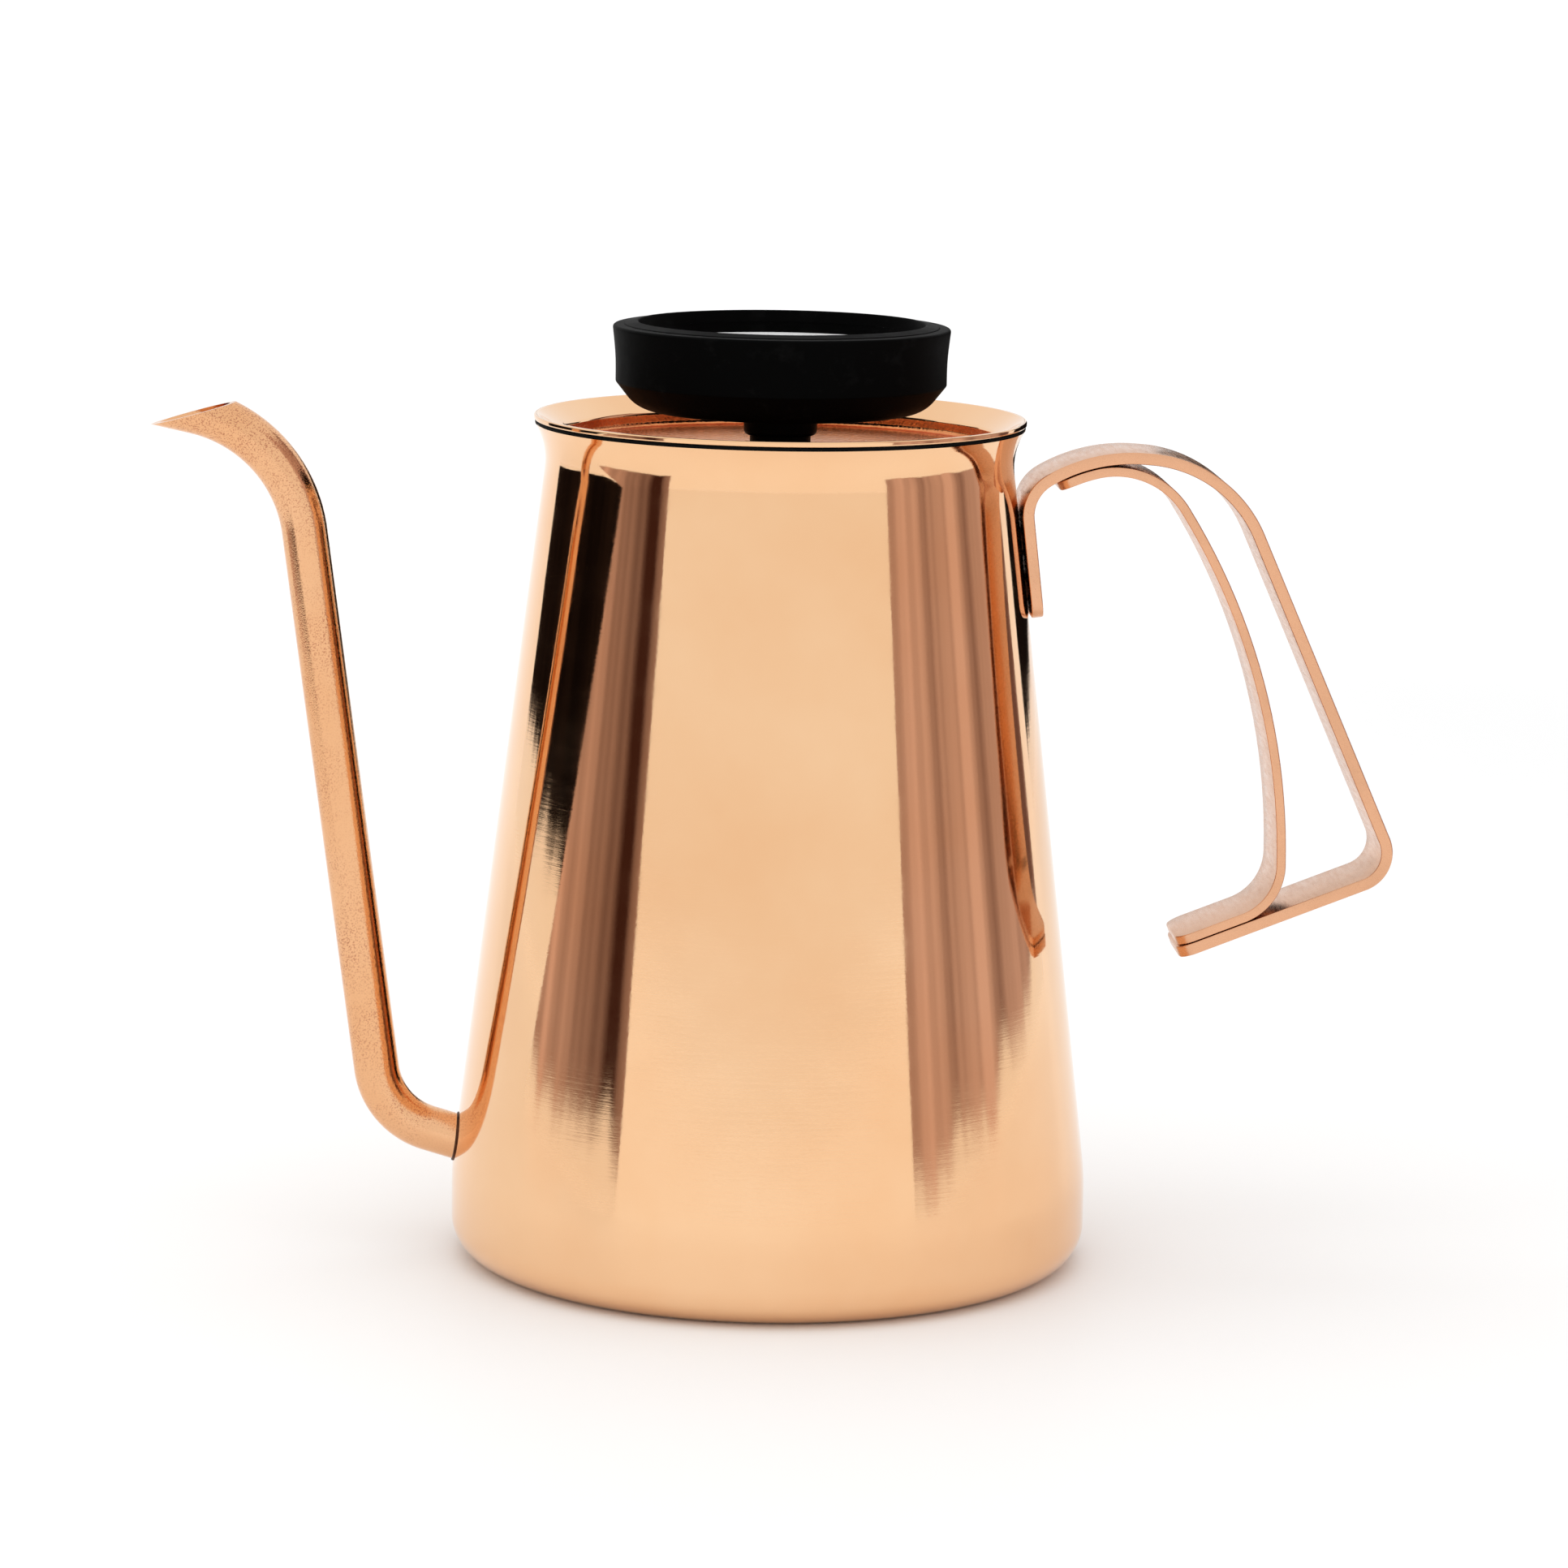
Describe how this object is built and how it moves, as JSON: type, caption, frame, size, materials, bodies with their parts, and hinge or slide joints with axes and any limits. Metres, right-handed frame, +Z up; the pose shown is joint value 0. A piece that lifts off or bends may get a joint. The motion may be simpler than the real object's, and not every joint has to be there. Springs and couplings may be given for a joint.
{
  "type": "gooseneck kettle",
  "caption": "Conical copper kettle with a thin gooseneck spout, an open strap handle and a lift-off lid with a round dial knob.",
  "frame": {"origin": "centre of the flat underside, on the axis of the body", "axes": "+Z up along the body's axis, +X towards the handle, the spout along -X"},
  "size_m": [0.2133, 0.11, 0.1621],
  "materials": {
    "polished_copper": "mirror polished copper plate",
    "satin_copper": "satin copper plate, brighter on the cut edges",
    "braze": "dull brown filler",
    "weld": "dull",
    "black_seal": "matte silicone",
    "black_knob": "matte, fine grain",
    "clear_glass": "flat polished",
    "dial_print": "black, printed with plain pale marks",
    "pointer_paint": "satin",
    "steel": "drawn",
    "nylon": "moulded"
  },
  "bodies": {
    "kettle": {"body_shell": "polished_copper", "base_pan": "polished_copper", "spout_tube": "polished_copper", "spout_braze": "braze", "handle_outer_strap": "satin_copper", "handle_inner_strap": "satin_copper", "handle_body_welds": "weld", "arch_welds": "weld", "tail_welds": "weld"},
    "seal": {"lid_seal": "black_seal"},
    "lid": {"lid_pan": "polished_copper", "lid_collar": "black_knob", "collar_washer": "nylon", "collar_nut": "steel", "knob_housing": "black_knob", "knob_bezel": "black_knob", "knob_glass": "clear_glass", "dial_plate": "dial_print", "stem_tube": "steel", "bimetal_coil": "steel"},
    "needle": {"pointer": "pointer_paint", "pointer_spindle": "steel"}
  },
  "joints": [
    {"name": "lid_lift", "type": "slide", "parent": "kettle", "child": "seal", "axis": [0, 0, 1], "range_m": [0, 0.085]},
    {"name": "lid_turn", "type": "hinge", "parent": "seal", "child": "lid", "pos_m": [0, 0, 0.1446], "axis": [0, 0, 1], "continuous": true},
    {"name": "pointer_turn", "type": "hinge", "parent": "lid", "child": "needle", "pos_m": [0, 0, 0.1567], "axis": [0, 0, 1], "range_deg": [-270, 0]}
  ]
}
